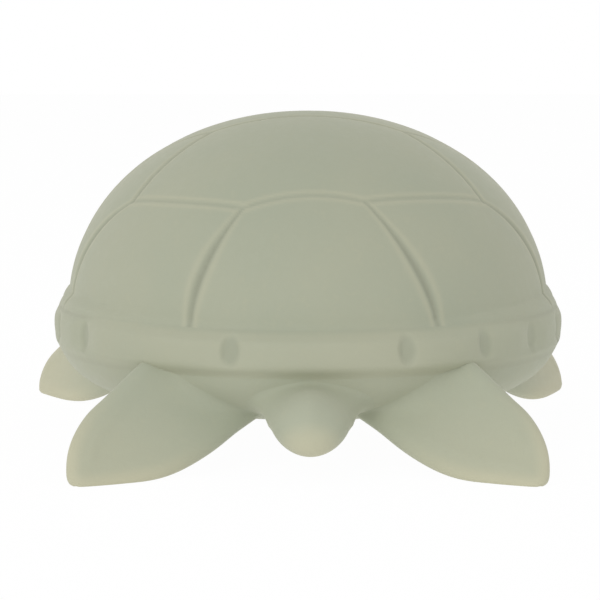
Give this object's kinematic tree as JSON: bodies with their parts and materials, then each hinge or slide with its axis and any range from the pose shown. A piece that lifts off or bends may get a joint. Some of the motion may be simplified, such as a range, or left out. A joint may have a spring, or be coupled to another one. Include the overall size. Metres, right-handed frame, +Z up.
{
  "type": "turtle bath toy",
  "caption": "Hollow soft-rubber turtle bath toy with a domed scute shell, notched rim, flat belly, bendable flippers, head and tail.",
  "frame": {"origin": "on the ground under the middle of the toy's box", "axes": "+Z up, +Y towards the head, +X to the turtle's right"},
  "size_m": [0.093, 0.1186, 0.0514],
  "materials": {
    "shell_rubber": "matte natural rubber",
    "limb_rubber": "matte natural rubber"
  },
  "bodies": {
    "body": {"carapace_shell": "shell_rubber", "plastron_shell": "shell_rubber", "vent_plug": "limb_rubber"},
    "head": {"head": "limb_rubber"},
    "tail": {"tail": "limb_rubber"},
    "front_left": {"front_left_flipper": "limb_rubber"},
    "front_right": {"front_right_flipper": "limb_rubber"},
    "rear_left": {"rear_left_flipper": "limb_rubber"},
    "rear_right": {"rear_right_flipper": "limb_rubber"}
  },
  "joints": [
    {"name": "neck_bend", "type": "hinge", "parent": "body", "child": "head", "pos_m": [0, 0.03511, 0.0105], "axis": [1, 0, 0], "range_deg": [-12, 12], "stiffness_Nm_per_rad": 0.08},
    {"name": "tail_bend", "type": "hinge", "parent": "body", "child": "tail", "pos_m": [0, -0.0489, 0.0098], "axis": [-1, 0, 0], "range_deg": [-15, 15], "stiffness_Nm_per_rad": 0.05},
    {"name": "front_left_bend", "type": "hinge", "parent": "body", "child": "front_left", "pos_m": [-0.0341, 0.02131, 0.0109], "axis": [-0.0933, 0.827, 0.5543], "range_deg": [-12, 20], "stiffness_Nm_per_rad": 0.12},
    {"name": "front_right_bend", "type": "hinge", "parent": "body", "child": "front_right", "pos_m": [0.0341, 0.02131, 0.0109], "axis": [-0.0933, -0.827, -0.5543], "range_deg": [-12, 20], "stiffness_Nm_per_rad": 0.12},
    {"name": "rear_left_bend", "type": "hinge", "parent": "body", "child": "rear_left", "pos_m": [-0.01785, -0.0446, 0.0109], "axis": [-0.8996, -0.0253, 0.436], "range_deg": [-12, 20], "stiffness_Nm_per_rad": 0.12},
    {"name": "rear_right_bend", "type": "hinge", "parent": "body", "child": "rear_right", "pos_m": [0.01785, -0.0446, 0.0109], "axis": [-0.8996, 0.0253, -0.436], "range_deg": [-12, 20], "stiffness_Nm_per_rad": 0.12}
  ]
}
